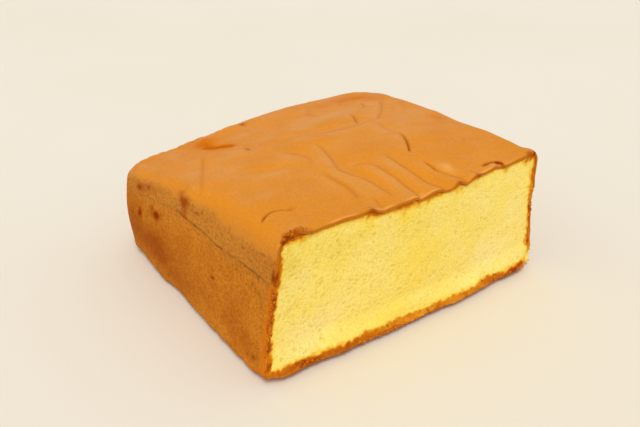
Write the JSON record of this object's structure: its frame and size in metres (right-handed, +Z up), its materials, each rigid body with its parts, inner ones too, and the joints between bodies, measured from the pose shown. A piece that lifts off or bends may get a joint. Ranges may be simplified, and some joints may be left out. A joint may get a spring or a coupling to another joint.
{
  "type": "sponge cake",
  "caption": "Square sponge cake cut straight across, with browned crust on three sides and underneath, a wrinkled skin on top and a soft yellow crumb at the cut.",
  "frame": {"origin": "centre of the cake's box in plan, on the surface that it stands on", "axes": "+X along the cut, from the cut's left end to its right; +Y from the cut to the back of the cake; +Z up, from the bottom crust to the top skin"},
  "size_m": [0.2046, 0.185, 0.0834],
  "materials": {
    "sponge_cake": "soft baked sponge: fine-pored pale yellow crumb at the cut, matt golden-brown crust on the sides and underneath, satin orange-brown wrinkled skin on top"
  },
  "bodies": {
    "root": {"sponge_cake": "sponge_cake"}
  },
  "joints": []
}
